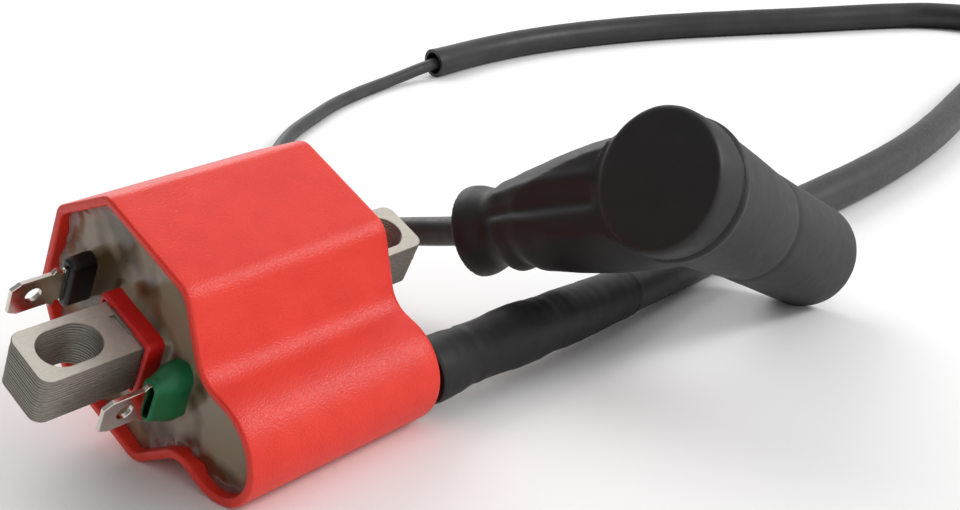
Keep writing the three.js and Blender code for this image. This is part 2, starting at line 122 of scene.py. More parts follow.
# Centre line of the lead in the part's frame, in millimetres, between the outlet and the cap.
LEAD_ROUTE = [
    (19.5, -19.2, 7.5), (30, -19.5, 7.5), (42, -19.9, 7.1), (54, -19.8, 6.3), (66, -19.6, 5.6),
    (80, -19.1, 5), (96, -18.3, 4.4), (114, -17.6, 4.4), (134, -17.6, 4.4), (154, -17.7, 4.4),
    (174, -17.2, 4.4), (194, -15.4, 4.4), (214, -12.2, 4.4), (239, -6.6, 4.4), (262, -1.2, 4.4),
    (286, 3.4, 4.4), (310, 7.6, 4.4), (332, 14, 4.4), (350, 26, 4.4), (359.5, 44, 4.4),
    (356, 62, 4.4), (345, 75, 4.4), (327, 91, 4.4), (307, 110, 4.4), (286, 128, 4.4),
    (262, 142, 4.4), (240, 150, 4.4), (218, 153, 4.4), (198, 152.3, 4.4), (191, 153.9, 3.3),
    (184, 153.8, 2.6), (172, 152.6, 2), (161, 150, 2), (147, 145.3, 2), (133, 138.3, 2),
    (120, 131.3, 2), (108, 122.5, 2), (95.5, 111, 2), (83, 97, 2), (72, 82, 2.6), (63, 66, 4.2),
    (56, 50, 7.2), (52, 36, 10.8), (50.7, 24, 14.2), (51, 15, 16.1), (52, 7, 17.5),
]


def coil_placement():
    """The coil's local frame, from the two faces of the front tab and the housing's rim."""
    tab = {m["name"]: m for m in record["mounts"]}
    axis = tab["front_tab_top"]["axis"]
    middle = (Vector(tab["front_tab_top"]["pos_m"]) + Vector(tab["front_tab_bottom"]["pos_m"])) / 2
    origin = Vector((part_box("housing")[0].x, middle.y, middle.z))
    roll = Matrix.Rotation(math.atan2(-axis[1], axis[2]), 4, "X")
    return Matrix.Translation(origin) @ roll @ Matrix.Scale(MM, 4)


def cap_placement():
    """The cap's local frame, from the swivel's axis along the leg and the boxes in the plug socket."""
    joint = frame["joints"][0]
    leg = -Vector(joint["axis"]).normalized()
    boxes = [o["box_m"] for o in record["physics"]["openings"] if o["name"].startswith("plug_socket")]
    middles = [(Vector(low) + Vector(high)) / 2 for low, high in boxes]
    top = middles[0] - middles[-1]
    top = (top - leg * top.dot(leg)).normalized()
    axes = Matrix((leg, top.cross(leg), top)).transposed().to_4x4()
    return Matrix.Translation(Vector(joint["pos_m"])) @ axes @ Matrix.Scale(MM, 4)


COIL = coil_placement()
CAP = cap_placement()
PART = Matrix.Scale(MM, 4)


# Camera, at the angle of the photograph.

def camera():
    data = bpy.data.cameras.new("camera")
    data.sensor_width = 36
    data.lens = LENS
    data.clip_start = 0.01
    obj = bpy.data.objects.new("camera", data)
    back = Vector(CAMERA_BACK).normalized()
    right = Vector(CAMERA_RIGHT)
    right = (right - back * right.dot(back)).normalized()
    rotation = Matrix((right, back.cross(right), back)).transposed().to_4x4()
    obj.matrix_world = Matrix.Translation(Vector(CAMERA_PLACE) * MM) @ rotation
    bpy.context.scene.collection.objects.link(obj)
    bpy.context.scene.camera = obj


camera()


# Materials.

def linear(red, green, blue):
    """A colour given in sRGB from 0 to 255, as linear light."""
    channels = [c / 255 for c in (red, green, blue)]
    return [c / 12.92 if c <= 0.04045 else ((c + 0.055) / 1.055) ** 2.4 for c in channels] + [1]


class Finish:
    """A Principled material whose sockets can be driven by noise in the part's own coordinates."""

    def __init__(self, name, colour, **sockets):
        self.material = bpy.data.materials.new(name)
        self.material.use_nodes = True
        self.nodes = self.material.node_tree.nodes
        self.links = self.material.node_tree.links
        self.shader = self.nodes["Principled BSDF"]
        self.shader.inputs["Base Color"].default_value = colour
        for socket, value in sockets.items():
            title = socket.replace("_", " ").title().replace("Ior", "IOR")
            self.shader.inputs[title].default_value = value
        self.place = self.nodes.new("ShaderNodeTexCoord").outputs["Object"]

    def stretched(self, scale):
        """The part's coordinates, scaled by axis."""
        mapping = self.nodes.new("ShaderNodeMapping")
        mapping.inputs["Scale"].default_value = scale
        self.links.new(self.place, mapping.inputs["Vector"])
        return mapping.outputs["Vector"]

    def noise(self, scale, detail=3, place=None):
        """Noise from 0 to 1, with scale features to the metre."""
        texture = self.nodes.new("ShaderNodeTexNoise")
        texture.inputs["Scale"].default_value = scale
        texture.inputs["Detail"].default_value = detail
        self.links.new(place or self.place, texture.inputs["Vector"])
        return texture.outputs["Fac"]

    def ramp(self, value, low, high, at=(0.35, 0.65)):
        """A colour ramp between two colours, over the given span of the value."""
        ramp = self.nodes.new("ShaderNodeValToRGB")
        ramp.color_ramp.elements[0].position, ramp.color_ramp.elements[1].position = at
        ramp.color_ramp.elements[0].color, ramp.color_ramp.elements[1].color = low, high
        self.links.new(value, ramp.inputs["Fac"])
        return ramp.outputs["Color"]

    def spread(self, value, low, high, at=(0.3, 0.7)):
        """The value, mapped from one span to another."""
        span = self.nodes.new("ShaderNodeMapRange")
        span.inputs["From Min"].default_value, span.inputs["From Max"].default_value = at
        span.inputs["To Min"].default_value, span.inputs["To Max"].default_value = low, high
        self.links.new(value, span.inputs["Value"])
        return span.outputs["Result"]

    def mix(self, share, one, other):
        """One colour where the share is nought, and the other where it is one."""
        mix = self.nodes.new("ShaderNodeMix")
        mix.data_type = "RGBA"
        sockets = {socket.identifier: socket for socket in [*mix.inputs, *mix.outputs]}
        self.links.new(share, sockets["Factor_Float"])
        self.links.new(one, sockets["A_Color"])
        self.links.new(other, sockets["B_Color"])
        return sockets["Result_Color"]

    def attribute(self, name):
        node = self.nodes.new("ShaderNodeAttribute")
        node.attribute_name = name
        return node.outputs["Fac"]

    def colour(self, value):
        self.links.new(value, self.shader.inputs["Base Color"])
        return self

    def rough(self, value):
        self.links.new(value, self.shader.inputs["Roughness"])
        return self

    def bump(self, *layers):
        """Layers of (height, depth in millimetres, strength)."""
        normal = None
        for height, depth, strength in layers:
            bump = self.nodes.new("ShaderNodeBump")
            bump.inputs["Distance"].default_value = depth * MM
            bump.inputs["Strength"].default_value = strength
            self.links.new(height, bump.inputs["Height"])
            if normal:
                self.links.new(normal, bump.inputs["Normal"])
            normal = bump.outputs["Normal"]
        self.links.new(normal, self.shader.inputs["Normal"])
        return self


def moulded_red():
    finish = Finish("moulded_red", linear(226, 46, 36), roughness=0.42, specular_ior_level=0.45)
    finish.colour(finish.ramp(finish.noise(180, 4), linear(221, 44, 28), linear(228, 51, 34)))
    finish.rough(finish.spread(finish.noise(2600, 2), 0.36, 0.5))
    return finish.bump((finish.noise(3400, 1), 0.15, 0.6), (finish.noise(700, 2), 0.02, 0.2)).material


def bobbin_red():
    finish = Finish("bobbin_red", linear(205, 30, 28), roughness=0.38)
    finish.colour(finish.ramp(finish.noise(400, 4), linear(190, 16, 15), linear(204, 24, 21)))
    return finish.bump((finish.noise(1800, 3), 0.03, 0.3)).material


def core_steel(name, dark, light, roughness):
    finish = Finish(name, dark, metallic=0.7, roughness=roughness)
    grain = finish.noise(2600, 3, finish.stretched((0.35, 1, 1)))
    finish.colour(finish.ramp(grain, dark, light, (0.3, 0.7)))
    finish.rough(finish.spread(finish.noise(600, 4), roughness - 0.05, roughness + 0.08))
    return finish.bump((grain, 0.006, 0.2)).material


def resin():
    """Cast epoxy: cloudy brown, tinted red where it thins out over the red walls."""
    finish = Finish("resin", linear(84, 64, 46), roughness=0.2, specular_ior_level=0.6)
    clouds = finish.ramp(finish.noise(85, 2), linear(76, 58, 34), linear(138, 122, 100), (0.44, 0.54))
    tinted = finish.ramp(finish.noise(900, 2), linear(112, 26, 20), linear(134, 44, 34))
    finish.colour(finish.mix(finish.attribute("tint"), clouds, tinted))
    finish.rough(finish.spread(finish.noise(140, 2), 0.17, 0.28))
    return finish.bump((finish.noise(70, 2), 0.4, 0.12), (finish.noise(1600, 2), 0.01, 0.2)).material


def tinned_brass():
    finish = Finish("tinned_brass", linear(214, 205, 196), metallic=1, roughness=0.14)
    finish.colour(finish.ramp(finish.noise(260, 3), linear(204, 194, 184), linear(224, 217, 209)))
    finish.rough(finish.spread(finish.noise(500, 3), 0.08, 0.2))
    return finish.bump((finish.noise(2200, 2), 0.004, 0.3)).material


def vinyl(name, dark, light, roughness):
    finish = Finish(name, dark, roughness=roughness, specular_ior_level=0.45)
    finish.colour(finish.ramp(finish.noise(350, 4), dark, light))
    return finish.bump((finish.noise(2500, 3), 0.03, 0.35)).material


def moulded_rubber():
    finish = Finish("moulded_rubber", linear(20, 20, 21), roughness=0.56, specular_ior_level=0.5)
    finish.colour(finish.ramp(finish.noise(160, 4), linear(13, 13, 14), linear(17, 17, 18)))
    finish.rough(finish.spread(finish.noise(420, 4), 0.54, 0.6))
    return finish.bump((finish.noise(2600, 2), 0.04, 0.4), (finish.noise(200, 3), 0.1, 0.12)).material


def extruded(name, dark, light, roughness):
    finish = Finish(name, dark, roughness=roughness, specular_ior_level=0.5)
    finish.colour(finish.ramp(finish.noise(150, 4), dark, light))
    finish.rough(finish.spread(finish.noise(900, 3), roughness - 0.05, roughness + 0.07))
    return finish.bump((finish.noise(2400, 3), 0.03, 0.35)).material


def plain_metal(name, dark, light, roughness):
    finish = Finish(name, dark, metallic=1, roughness=roughness)
    finish.colour(finish.ramp(finish.noise(900, 4), dark, light))
    return finish.bump((finish.noise(2500, 3), 0.02, 0.3)).material


def wound_copper():
    """Enamelled wire, whose turns lie across the coil's X."""
    finish = Finish("wound_copper", linear(176, 92, 44), metallic=0.9, roughness=0.3)
    wires = finish.nodes.new("ShaderNodeTexWave")
    wires.inputs["Scale"].default_value = 1400
    finish.links.new(finish.place, wires.inputs["Vector"])
    # The ramp follows the same waves as the bump: dark in the grooves between turns and light on their crowns,
    # painted shade and highlight.
    finish.colour(finish.ramp(wires.outputs["Fac"], linear(120, 56, 26), linear(196, 106, 54), (0.1, 0.9)))
    return finish.bump((wires.outputs["Fac"], 0.08, 0.6)).material


def fired(name, dark, light, roughness):
    finish = Finish(name, dark, roughness=roughness)
    finish.colour(finish.ramp(finish.noise(600, 5), dark, light))
    return finish.bump((finish.noise(2200, 3), 0.03, 0.3)).material


RED = moulded_red()
BOBBIN = bobbin_red()
STEEL = core_steel("core_steel", linear(196, 191, 180), linear(206, 202, 191), 0.46)
# A darker copy of the core steel for the sheets' edges: painted shade.
STEEL_EDGE_PAINTED_SHADE = core_steel("core_edge_painted_shade", linear(134, 128, 120), linear(150, 144, 136), 0.42)
RESIN = resin()
TIN = tinned_brass()
BLACK_VINYL = vinyl("black_vinyl", linear(8, 6, 5), linear(13, 10, 9), 0.42)
GREEN_VINYL = vinyl("green_vinyl", linear(4, 98, 57), linear(9, 112, 68), 0.36)
RUBBER = moulded_rubber()
TUBE = extruded("tube_rubber", linear(32, 32, 33), linear(42, 41, 42), 0.45)
LEAD = extruded("lead_silicone", linear(42, 42, 43), linear(54, 54, 55), 0.5)
SLEEVE = extruded("sleeve_rubber", linear(26, 22, 22), linear(38, 32, 31), 0.5)
BRASS = plain_metal("brass", linear(176, 140, 78), linear(206, 172, 104), 0.3)
SPRING = plain_metal("spring_steel", linear(150, 150, 152), linear(182, 182, 184), 0.28)
COPPER = wound_copper()
CREAM = fired("cream_plastic", linear(206, 198, 178), linear(226, 219, 202), 0.5)
PHENOLIC = fired("phenolic", linear(38, 28, 24), linear(56, 44, 38), 0.4)
CERAMIC = fired("ceramic", linear(212, 205, 190), linear(232, 226, 214), 0.55)


# Outlines: arrays of points in a plane, anticlockwise.

def arc(centre, start, sweep, steps):
    """Points turning about the centre from a start point, both ends included."""
    turns = np.linspace(0, sweep, steps + 1)
    reach = np.subtract(start, centre)
    cos, sin = np.cos(turns), np.sin(turns)
    return np.stack([reach[0] * cos - reach[1] * sin, reach[0] * sin + reach[1] * cos], 1) + centre


def rounded(corners, step=math.radians(6)):
    """An outline from (u, v, fillet radius) corners."""
    outline = []
    for i, (u, v, radius) in enumerate(corners):
        corner = Vector((u, v))
        back = (Vector(corners[i - 1][:2]) - corner).normalized()
        ahead = (Vector(corners[(i + 1) % len(corners)][:2]) - corner).normalized()
        half = back.angle(ahead) / 2
        centre = corner + (back + ahead).normalized() * (radius / math.sin(half))
        start = corner + back * (radius / math.tan(half))
        sweep = math.copysign(math.pi - 2 * half, (-back).cross(ahead))
        outline.extend(arc(centre, start, sweep, max(3, round(abs(sweep) / step))))
    outline = np.array(outline)
    return outline[np.linalg.norm(outline - np.roll(outline, 1, 0), axis=1) > 0.01]


def rectangle(size, radius, step=math.radians(10)):
    u, v = size[0] / 2, size[1] / 2
    return rounded([(u, v, radius), (-u, v, radius), (-u, -v, radius), (u, -v, radius)], step)


def grown(size, by):
    return size[0] + 2 * by, size[1] + 2 * by


def inset(outline, distance):
    """The outline moved to the left of its own direction."""
    along = np.roll(outline, -1, 0) - np.roll(outline, 1, 0)
    along /= np.linalg.norm(along, axis=1)[:, None]
    return outline + distance * np.stack([-along[:, 1], along[:, 0]], 1)


def dense(outline, spacing):
    """The outline with long straight stretches divided."""
    points = []
    for a, b in zip(outline, np.roll(outline, -1, 0)):
        steps = max(1, round(np.linalg.norm(b - a) / spacing))
        points.extend(a + (b - a) * k / steps for k in range(steps))
    return np.array(points)


def circle(radius, sides):
    turns = np.arange(sides) * 2 * math.pi / sides
    return radius * np.stack([np.cos(turns), np.sin(turns)], 1)


def at_x(outline, x):
    """An outline in YZ, as points of the coil's frame at X."""
    return np.column_stack([np.full(len(outline), x), outline])


def at_z(outline, z):
    return np.column_stack([outline, np.full(len(outline), z)])


# Meshes.

def raw(name, points, faces):
    """An object from points and faces, with its faces turned outward."""
    mesh = bpy.data.meshes.new(name)
    mesh.from_pydata([tuple(map(float, p)) for p in points], [], [tuple(map(int, f)) for f in faces])
    work = bmesh.new()
    work.from_mesh(mesh)
    bmesh.ops.recalc_face_normals(work, faces=work.faces)
    work.to_mesh(mesh)
    work.free()
    obj = bpy.data.objects.new(name, mesh)
    bpy.context.scene.collection.objects.link(obj)
    return obj


def apply_modifiers(obj):
    """Makes the modifiers' result the object's own mesh."""
    bpy.context.view_layer.update()
    evaluated = obj.evaluated_get(bpy.context.evaluated_depsgraph_get())
    mesh = bpy.data.meshes.new_from_object(evaluated)
    obj.modifiers.clear()
    obj.data = mesh


def combine(obj, tool, operation):
    modifier = obj.modifiers.new("combine", "BOOLEAN")
    modifier.operation = operation
    modifier.object = tool
    modifier.solver = "MANIFOLD"
    apply_modifiers(obj)
    bpy.data.objects.remove(tool)


def finished(obj, placement, material, body, nodes, sharp=35):
    """Puts a drawn piece in its place, with its material, body and the CAD nodes that it stands for."""
    obj.data.transform(placement)
    obj.data.shade_smooth()
    obj.data.set_sharp_from_angle(angle=math.radians(sharp))
    obj.data.materials.clear()
    obj.data.materials.append(material)
    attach(obj, body)
    if nodes:
        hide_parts(*nodes)
    return obj


def loft(sections, ring=False):
    """Skins closed sections of equal count. A ring joins its last section to its first."""
    count = len(sections[0])
    faces = []
    for i in range(len(sections) if ring else len(sections) - 1):
        a, b = i * count, (i + 1) % len(sections) * count
        faces.extend((a + j, a + (j + 1) % count, b + (j + 1) % count, b + j) for j in range(count))
    if not ring:
        last = (len(sections) - 1) * count
        faces.append(tuple(reversed(range(count))))
        faces.append(tuple(range(last, last + count)))
    return np.concatenate(sections), faces


def lathe(profile, sides, axis="Z"):
    """A turned solid from (radius, height) pairs, closed at both ends."""
    sections = [at_z(circle(radius, sides), height) for radius, height in profile]
    points, faces = loft(sections)
    return (points[:, [2, 0, 1]] if axis == "X" else points), faces


def plate(outline, holes, low, high, bevel):
    """A flat plate in XY with bevelled edges. Holes run clockwise."""
    levels = [(low, bevel), (low + bevel, 0), (high - bevel, 0), (high, bevel)]
    points, faces, caps = [], [], []
    for loop in [outline, *holes]:
        start = len(points)
        for z, by in levels:
            points.extend(at_z(inset(loop, by), z))
        for k in range(len(levels) - 1):
            a, b = start + k * len(loop), start + (k + 1) * len(loop)
            for j in range(len(loop)):
                n = (j + 1) % len(loop)
                faces.append((a + j, a + n, b + n, b + j))
        caps.append((start, start + (len(levels) - 1) * len(loop), len(loop)))
    for side in (0, 1):
        index = [i for cap in caps for i in range(cap[side], cap[side] + cap[2])]
        loops = [[Vector(points[i]) for i in range(cap[side], cap[side] + cap[2])] for cap in caps]
        faces.extend(tuple(index[i] for i in triangle) for triangle in tessellate_polygon(loops))
    return points, faces


def displace(obj, depth):
    """Presses each vertex in along its normal by a depth that depends on its place."""
    mesh = obj.data
    places = np.zeros(len(mesh.vertices) * 3, np.float32)
    mesh.vertices.foreach_get("co", places)
    normals = np.array([tuple(n.vector) for n in mesh.vertex_normals])
    places = places.reshape(-1, 3)
    places -= normals * np.array([depth(Vector(p)) for p in places])[:, None]
    mesh.vertices.foreach_set("co", places.ravel())
    mesh.update()


def wobble(point, scale, seed=0.0):
    """Smooth noise from about -1 to 1 at a point in millimetres, with features of about scale."""
    return noise.noise(Vector(point) / scale + Vector((seed, seed * 1.7, seed * 2.3)))


# The coil.

HOUSING_OUTLINE = rounded(HOUSING_CORNERS + [(y, -z, r) for y, z, r in reversed(HOUSING_CORNERS)])
CAVITY_OUTLINE = inset(HOUSING_OUTLINE, HOUSING_WALL)
BOBBIN_TUBE = grown(BOBBIN_BORE, BOBBIN_WALL)


def rounded_edge(radius, steps, x, direction):
    """(x, inset) pairs round an outer edge, from the face at x to the side wall."""
    turns = np.linspace(0, math.pi / 2, steps)
    return [(x + direction * radius * (1 - math.sin(t)), radius * (1 - math.cos(t))) for t in turns][::-1]


def housing():
    """The moulded shell, open at the rim, with a window for the bobbin and a hole for the lead."""
    inner = HOUSING_LENGTH - REAR_WALL
    rear = rounded_edge(1.3, 7, HOUSING_LENGTH, -1)
    rim = rounded_edge(0.45, 5, 0, 1)
    outer = [at_x(inset(HOUSING_OUTLINE, by), x) for x, by in sorted(rear, reverse=True)]
    body = [at_x(HOUSING_OUTLINE, x) for x in np.linspace(HOUSING_LENGTH - 3, 2, 8)]
    front = [at_x(inset(HOUSING_OUTLINE, by), x) for x, by in sorted(rim, reverse=True)]
    lip = [at_x(inset(HOUSING_OUTLINE, HOUSING_WALL - by), x) for x, by in sorted(rim)]
    cavity = [at_x(CAVITY_OUTLINE, x) for x in np.linspace(2, inner, 6)]
    obj = raw("housing_shell", *loft(outer + body + front + lip + cavity))
    opening = rectangle(grown(BOBBIN_TUBE, 0.3), 1)
    window = loft([at_x(opening, x) for x in (inner - 1, HOUSING_LENGTH + 1)])
    combine(obj, raw("window", *window), "DIFFERENCE")
    points, faces = lathe([(2.4, inner - 1), (2.4, HOUSING_LENGTH + 1)], 40, "X")
    combine(obj, raw("outlet", points + [0, OUTLET_Y, 0], faces), "DIFFERENCE")
    return finished(obj, COIL, RED, "coil", ["housing"])


def stadium(size):
    return rectangle(size, min(size) / 2 - 0.001, math.radians(7))


def laminations():
    """The stack: each sheet sits a few hundredths out of line, and its edges take a darker copy of the steel,
    painted shade.
    """
    half = CORE_LENGTH / 2
    centre = half - SLOT_MARGIN - SLOT_SIZE[0] / 2
    sheet = dense(rectangle((CORE_LENGTH, CORE_WIDTH), CORE_CORNER), 4)
    slot = stadium(SLOT_SIZE)[::-1]
    for i in range(LAMINATIONS):
        shift = np.array([wobble((i * 3.1, 0, 0), 1, 4.2), wobble((0, i * 2.7, 0), 1, 9.1)]) * 0.07
        low = -CORE_HEIGHT / 2 + i * LAMINATION_PITCH + (LAMINATION_PITCH - LAMINATION_THICKNESS) / 2
        holes = [slot + [side * centre, 0] + shift for side in (-1, 1)]
        points, faces = plate(sheet + shift, holes, low, low + LAMINATION_THICKNESS, 0.13)
        points = np.array(points) + [half - CORE_FRONT, 0, 0]
        obj = raw(f"core_sheet_{i + 1:02d}", points, faces)
        if i == LAMINATIONS - 1:
            stake(obj, low + LAMINATION_THICKNESS)
        finished(obj, COIL, STEEL, "coil", [f"lamination_{i + 1:02d}"], 28)
        obj.data.materials.append(STEEL_EDGE_PAINTED_SHADE)
        # Faces that don't face along the stack, the sheets' edges, take the darker steel: painted shade.
        across = COIL.to_3x3().col[2].normalized()
        for face in obj.data.polygons:
            face.material_index = int(abs(face.normal.dot(across)) < 0.9)


def stake(obj, top):
    """The interlock mark beside the collar: a tongue pressed down at one end."""
    front, rear, high_y, low_y, deep = -2.5, -1.6, 2.3, -1.9, 0.46
    corners = [(front, high_y), (rear, high_y), (rear, low_y), (front, low_y)]
    floor = [top - deep, top - deep, top - 0.16, top - 0.16]
    points = [(x, y, z) for (x, y), z in zip(corners, floor)] + [(x, y, top + 1) for x, y in corners]
    faces = [(0, 1, 2, 3), (4, 5, 6, 7)] + [(i, (i + 1) % 4, (i + 1) % 4 + 4, i + 4) for i in range(4)]
    combine(obj, raw("stake", points, faces), "DIFFERENCE")


def primary_bobbin():
    """The moulded tube round the core, whose ends stand out of the potting as collars."""
    ends = (-BOBBIN_PROUD, HOUSING_LENGTH + BOBBIN_PROUD)
    size, bore = BOBBIN_TUBE, BOBBIN_BORE
    edge = [(0.5, 0), (0.22, 0.08), (0.06, 0.26), (0, 0.5)]
    outer = []
    for by, along in edge:
        outer.append(at_x(rectangle(grown(size, -by), 1.1), ends[0] + along))
    outer += [at_x(rectangle(size, 1.1), x) for x in np.linspace(1, HOUSING_LENGTH - 1, 9)]
    for by, along in reversed(edge):
        outer.append(at_x(rectangle(grown(size, -by), 1.1), ends[1] - along))
    inner = [at_x(rectangle(grown(bore, 0.12), 0.45), ends[1]), at_x(rectangle(bore, 0.4), ends[1] - 0.15)]
    inner += [at_x(rectangle(bore, 0.4), x) for x in np.linspace(HOUSING_LENGTH - 1, 1, 5)]
    inner += [at_x(rectangle(bore, 0.4), ends[0] + 0.15), at_x(rectangle(grown(bore, 0.12), 0.45), ends[0])]
    obj = raw("bobbin_tube", *loft(outer + inner, ring=True))
    relief = loft([at_x(rectangle((5.6, 1.6), 0.1) + [0.6, bore[1] / 2 - 0.3], x) for x in (-3, -0.7)])
    combine(obj, raw("relief", *relief), "DIFFERENCE")
    finished(obj, COIL, BOBBIN, "coil", ["primary_bobbin"])


def distance_to(points, outline):
    """How far each point of the plane is from an outline."""
    best = np.full(len(points), np.inf)
    for a, b in zip(outline, np.roll(outline, -1, 0)):
        along = b - a
        share = np.clip((points - a) @ along / max(along @ along, 1e-12), 0, 1)
        best = np.minimum(best, np.linalg.norm(points - a - share[:, None] * along, axis=1))
    return best


def inside(points, outline):
    """Which points of the plane lie inside an outline."""
    result = np.zeros(len(points), bool)
    for a, b in zip(outline, np.roll(outline, -1, 0)):
        crosses = (a[1] > points[:, 1]) != (b[1] > points[:, 1])
        rise = b[1] - a[1] if b[1] != a[1] else 1e-12
        result ^= crosses & (points[:, 0] < (b[0] - a[0]) * (points[:, 1] - a[1]) / rise + a[0])
    return result


def potting():
    """The cast resin: its free face creeps up the wall, the collar and the sleeves."""
    wall = dense(inset(CAVITY_OUTLINE, 0.02), 0.45)
    collar = dense(rectangle(grown(BOBBIN_TUBE, 0.02), 1.1), 0.45)
    sleeves = [dense(rectangle(size, min(size) / 2 - 0.1) + [y, 0], 0.4)
               for size, y in (((3.15, 9.35), PRIMARY_Y), ((4.75, 10.6), GROUND_Y))]
    holes = [collar, *sleeves]
    low, high = wall.min(0), wall.max(0)
    across = [np.arange(low[k], high[k], POTTING_SPACING) for k in (0, 1)]
    grid = np.stack(np.meshgrid(*across), -1).reshape(-1, 2)
    keep = inside(grid, wall) & (distance_to(grid, wall) > EDGE_KEEP)
    for hole in holes:
        keep &= ~inside(grid, hole) & (distance_to(grid, hole) > EDGE_KEEP)
    loops = [wall, *holes]
    points = np.concatenate([*loops, grid[keep]])
    edges, start = [], 0
    for loop in loops:
        edges += [(start + j, start + (j + 1) % len(loop)) for j in range(len(loop))]
        start += len(loop)
    found = delaunay_2d_cdt([Vector(p) for p in points], edges, [], 0, 1e-6, False)
    flat = np.array([tuple(v) for v in found[0]])
    triangles = np.array([f for f in found[2]])
    middles = flat[triangles].mean(1)
    keep = inside(middles, wall)
    for hole in holes:
        keep &= ~inside(middles, hole)
    to_wall = distance_to(flat, wall)
    climb = MENISCUS_HEIGHT * np.exp(-to_wall / 0.75)
    for hole, height in zip(holes, (0.9, 0.2, 0.3)):
        climb = np.maximum(climb, height * np.exp(-distance_to(flat, hole) / 0.55))
    uneven = [wobble((y, z, 0), 5, 3.3) * 0.16 + wobble((y, z, 0), 1.6, 7.7) * 0.015 for y, z in flat]
    uneven = np.array(uneven)
    ragged = np.array([wobble((y, z, 0), 2.2, 1.1) for y, z in flat]) * 0.6 * np.exp(-to_wall / 1.2)
    x = POTTING_DEPTH - climb - uneven - ragged
    rear = HOUSING_LENGTH - REAR_WALL - 0.1
    vertices = np.column_stack([x, flat])
    faces = [tuple(t) for t in triangles[keep]]
    obj = raw_shell("potting_block", vertices, faces, rear)
    places = np.array([tuple(v.co) for v in obj.data.vertices])
    near = np.where(places[:, 0] < 5, np.exp(-distance_to(places[:, 1:], wall) / 0.9), 0)
    tint = obj.data.attributes.new("tint", "FLOAT", "POINT")
    tint.data.foreach_set("value", (near * 0.95).astype(np.float32))
    finished(obj, COIL, RESIN, "coil", ["potting"], 60)


def raw_shell(name, vertices, faces, rear):
    """A free face with straight sides down to a flat rear face at X = rear."""
    work = bmesh.new()
    made = [work.verts.new(v) for v in vertices]
    for face in faces:
        work.faces.new([made[i] for i in face])
    loose = [v for v in work.verts if not v.link_faces]
    bmesh.ops.delete(work, geom=loose, context="VERTS")
    result = bmesh.ops.extrude_face_region(work, geom=list(work.faces))
    for v in (g for g in result["geom"] if isinstance(g, bmesh.types.BMVert)):
        v.co.x = rear
    bmesh.ops.recalc_face_normals(work, faces=work.faces)
    mesh = bpy.data.meshes.new(name)
    work.to_mesh(mesh)
    work.free()
    obj = bpy.data.objects.new(name, mesh)
    bpy.context.scene.collection.objects.link(obj)
    return obj


def blade(name, node, y):
    """A 6.3 mm blade with chamfered tip, detent hole and stop shoulders."""
    half, stop, root = BLADE_WIDTH / 2, 3.75, 3.4
    side = [(-BLADE_TIP, 2.3), (-BLADE_TIP + 1.5, half), (-4.7, half), (-4.2, stop), (-3.5, stop),
            (-3.4, root - 0.5), (-2.6, root - 0.5), (-2.5, root), (6.4, root)]
    outline = np.array([(x, -z) for x, z in side] + list(reversed(side)))
    hole = circle(BLADE_HOLE, 40)[::-1] + [-BLADE_TIP + 3.9, 0]
    points, faces = plate(outline, [hole], -BLADE_THICKNESS / 2, BLADE_THICKNESS / 2, 0.1)
    points = np.array(points)[:, [0, 2, 1]] + [0, y, 0]
    finished(raw(name, points, faces), COIL, TIN, "coil", [node], 20)


def sleeve(name, node, y, material, folds, stations):
    """A soft flat tube over a blade's root. Stations are (x, thickness, height, wall)."""
    def section(x, thickness, height, wall):
        corner = max(0.25, thickness / 2 - wall - 0.15)
        loop = rectangle((thickness - 2 * wall, height - 2 * wall), corner)
        ripple = np.array([[wobble((x, *p), 2.4, y), wobble((x, *p), 2.1, y + 5)] for p in loop]) * folds
        return at_x(loop + ripple + [y, 0], x)
    outer = [section(x, t, h, 0) for x, t, h, _ in stations]
    inner = [section(x, t, h, wall) for x, t, h, wall in reversed(stations)]
    lip_x, lip_t, lip_h, lip_wall = stations[0]
    lip = section(lip_x - 0.2, lip_t, lip_h, lip_wall / 2)
    obj = raw(name, *loft([*outer, *inner, lip], ring=True))
    finished(obj, COIL, material, "coil", [node], 60)


# The lead and everything on it.

def in_part(placement, point):
    """A point of a local frame, in the part's frame, in millimetres."""
    return np.array(placement @ Vector(point)) / MM


def between(a, b, ta, tb, t):
    return ((tb - t) * a + (t - ta) * b) / (tb - ta)


def smooth_route(points, spacing):
    """A centripetal Catmull-Rom curve through the points, in even steps."""
    p = np.array(points, float)
    p = np.concatenate([[2 * p[0] - p[1]], p, [2 * p[-1] - p[-2]]])
    knot = np.concatenate([[0], np.cumsum(np.linalg.norm(np.diff(p, axis=0), axis=1) ** 0.5)])
    curve = []
    for i in range(1, len(p) - 2):
        t = np.linspace(knot[i], knot[i + 1], 24, endpoint=False)[:, None]
        one = [between(p[k], p[k + 1], knot[k], knot[k + 1], t) for k in (i - 1, i, i + 1)]
        two = [between(one[k], one[k + 1], knot[i - 1 + k], knot[i + 1 + k], t) for k in (0, 1)]
        curve.append(between(two[0], two[1], knot[i], knot[i + 1], t))
    curve = np.concatenate([*curve, [p[-2]]])
    along = np.concatenate([[0], np.cumsum(np.linalg.norm(np.diff(curve, axis=0), axis=1))])
    even = np.linspace(0, along[-1], round(along[-1] / spacing) + 1)
    return np.stack([np.interp(even, along, curve[:, k]) for k in range(3)], 1)


def sweep(path, profile):
    """Round sections at (index, radius) pairs along a path. A hollow piece's pairs come back inside."""
    turns = np.arange(ROUND_SIDES) * 2 * math.pi / ROUND_SIDES
    ahead = np.gradient(path, axis=0)
    ahead /= np.linalg.norm(ahead, axis=1)[:, None]
    side = np.cross(ahead, [0, 0, 1])
    side /= np.linalg.norm(side, axis=1)[:, None]
    up = np.cross(side, ahead)
    return [path[i] + r * (np.cos(turns)[:, None] * side[i] + np.sin(turns)[:, None] * up[i])
            for i, r in profile]


def at(path, wanted):
    """The index of the first point of the path that passes a test."""
    return next(i for i, p in enumerate(path) if wanted(p))


